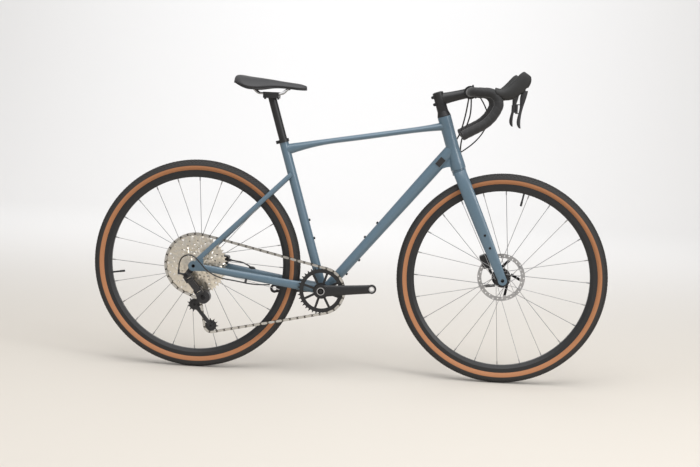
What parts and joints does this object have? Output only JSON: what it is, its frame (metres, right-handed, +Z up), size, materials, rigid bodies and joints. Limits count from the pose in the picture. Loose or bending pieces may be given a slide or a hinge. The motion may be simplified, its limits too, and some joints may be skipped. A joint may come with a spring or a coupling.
{
  "type": "gravel bicycle",
  "caption": "Drop-bar gravel bicycle without pedals: steering fork, spoked disc-brake wheels, single chainring, wide-range cassette and sprung derailleur cage.",
  "frame": {"origin": "on the ground under the middle of the wheelbase, in the bike's centre plane", "axes": "+X forward, +Y to the rider's left, +Z up"},
  "size_m": [1.727, 0.4946, 1.0333],
  "materials": {
    "frame_paint": "satin grey-blue paint",
    "black_alloy": "black anodised",
    "derailleur_alloy": "dark grey anodised",
    "steel": "brushed",
    "chain_steel": "bright plated",
    "bolts": "black",
    "silver_trim": "bright",
    "black_plastic": "matt",
    "hood_rubber": "matt rubber",
    "tape": "grained tape",
    "hose": "smooth",
    "tyre": "black tread with tan sidewalls",
    "saddle_cover": "matt synthetic cover"
  },
  "bodies": {
    "frame": {"head_tube": "frame_paint", "top_tube": "frame_paint", "down_tube": "frame_paint", "seat_tube": "frame_paint", "bottom_bracket_shell": "frame_paint", "frame_bearings": "steel", "chainstays": "frame_paint", "seatstays": "frame_paint", "rear_dropouts": "frame_paint", "derailleur_hanger": "black_alloy", "derailleur_b_knuckle": "derailleur_alloy", "rear_thru_axle": "black_alloy", "seat_collar": "black_alloy", "frame_fittings": "black_plastic", "rear_hoses": "hose", "front_hoses": "hose", "rear_brake_caliper": "black_alloy", "chain_outer_links": "chain_steel", "chain_inner_links": "chain_steel"},
    "seat": {"seatpost": "black_alloy", "saddle_clamp": "black_alloy", "saddle_rails": "steel", "saddle_shell": "black_plastic", "saddle_cushion": "saddle_cover"},
    "steering": {"fork": "frame_paint", "headset_cover": "black_alloy", "stem": "black_alloy", "stem_faceplate": "black_alloy", "stem_hardware": "bolts", "handlebar": "black_alloy", "bar_tape": "tape", "lever_hoods": "hood_rubber", "front_brake_caliper": "black_alloy", "front_thru_axle": "black_alloy", "front_brake_hose": "hose"},
    "left_lever": {"brake_lever_left": "black_plastic"},
    "right_lever": {"brake_lever_right": "black_plastic"},
    "paddle": {"shift_paddle": "black_plastic"},
    "front_wheel": {"front_tyre": "tyre", "front_rim": "black_alloy", "front_spokes": "steel", "front_hub": "black_alloy", "front_rotor": "steel"},
    "rear_wheel": {"rear_tyre": "tyre", "rear_rim": "black_alloy", "rear_spokes": "steel", "rear_hub": "black_alloy", "rear_rotor": "steel"},
    "crank": {"crank_arm_right": "black_alloy", "crank_arm_left": "black_alloy", "chainring": "black_alloy", "crank_fittings": "silver_trim"},
    "cogs": {"cassette": "steel"},
    "outer_link": {"derailleur_outer_link": "derailleur_alloy"},
    "inner_link": {"derailleur_inner_link": "derailleur_alloy"},
    "p_knuckle": {"derailleur_p_knuckle": "derailleur_alloy"},
    "cage": {"derailleur_cage": "derailleur_alloy"},
    "guide": {"guide_pulley": "black_plastic"},
    "tension": {"tension_pulley": "black_plastic"}
  },
  "joints": [
    {"name": "steer", "type": "hinge", "parent": "frame", "child": "steering", "pos_m": [0.35108, 0, 0.70862], "axis": [-0.309, 0, 0.9511], "range_deg": [-50, 50], "deforming": ["front_hoses"]},
    {"name": "seat_height", "type": "slide", "parent": "frame", "child": "seat", "axis": [-0.2924, 0, 0.9563], "range_m": [-0.05, 0.02]},
    {"name": "left_brake", "type": "hinge", "parent": "steering", "child": "left_lever", "pos_m": [0.53707, 0.20925, 0.97316], "axis": [0, 1, 0], "range_deg": [0, 16], "stiffness_Nm_per_rad": 1.5, "springref_deg": -5.73},
    {"name": "right_brake", "type": "hinge", "parent": "steering", "child": "right_lever", "pos_m": [0.53707, -0.20925, 0.97316], "axis": [0, 1, 0], "range_deg": [0, 16], "stiffness_Nm_per_rad": 1.5, "springref_deg": -5.73},
    {"name": "shift", "type": "hinge", "parent": "right_lever", "child": "paddle", "pos_m": [0.51907, -0.21125, 0.91516], "axis": [0, 0, -1], "range_deg": [0, 15], "stiffness_Nm_per_rad": 0.3, "springref_deg": -5.73},
    {"name": "front_wheel_spin", "type": "hinge", "parent": "steering", "child": "front_wheel", "pos_m": [0.5125, 0, 0.351], "axis": [0, 1, 0], "continuous": true},
    {"name": "rear_wheel_spin", "type": "hinge", "parent": "frame", "child": "rear_wheel", "pos_m": [-0.5125, 0, 0.351], "axis": [0, 1, 0], "continuous": true},
    {"name": "crank_spin", "type": "hinge", "parent": "frame", "child": "crank", "pos_m": [-0.08542, 0, 0.286], "axis": [0, 1, 0], "continuous": true, "deforming": ["chain_outer_links", "chain_inner_links"]},
    {"name": "cassette_spin", "type": "hinge", "parent": "frame", "child": "cogs", "pos_m": [-0.5125, 0, 0.351], "axis": [0, 1, 0], "continuous": true},
    {"name": "outer_link_swing", "type": "hinge", "parent": "frame", "child": "outer_link", "pos_m": [-0.52027, -0.098, 0.30719], "axis": [0.8228, 0, 0.5684], "range_deg": [-49, 0]},
    {"name": "inner_link_swing", "type": "hinge", "parent": "frame", "child": "inner_link", "pos_m": [-0.52027, -0.08, 0.30719], "axis": [0.8228, 0, 0.5684], "range_deg": [-49, 0]},
    {"name": "knuckle_swing", "type": "hinge", "parent": "outer_link", "child": "p_knuckle", "pos_m": [-0.49498, -0.08002, 0.27058], "axis": [0.8228, 0, 0.5684], "range_deg": [0, 49]},
    {"name": "cage_swing", "type": "hinge", "parent": "p_knuckle", "child": "cage", "pos_m": [-0.478, -0.03, 0.246], "axis": [0, -1, 0], "range_deg": [0, 35], "stiffness_Nm_per_rad": 0.8, "springref_deg": -17.19},
    {"name": "guide_spin", "type": "hinge", "parent": "cage", "child": "guide", "pos_m": [-0.5125, -0.0275, 0.215], "axis": [0, 1, 0], "continuous": true},
    {"name": "tension_spin", "type": "hinge", "parent": "cage", "child": "tension", "pos_m": [-0.45478, -0.0275, 0.14595], "axis": [0, 1, 0], "continuous": true}
  ],
  "couplings": [
    {"joint": "cassette_spin", "follows": "crank_spin", "ratio": 0.7451},
    {"joint": "guide_spin", "follows": "crank_spin", "ratio": -3.4545},
    {"joint": "tension_spin", "follows": "crank_spin", "ratio": 3.4545},
    {"joint": "inner_link_swing", "follows": "outer_link_swing", "ratio": 1},
    {"joint": "knuckle_swing", "follows": "outer_link_swing", "ratio": -1}
  ]
}
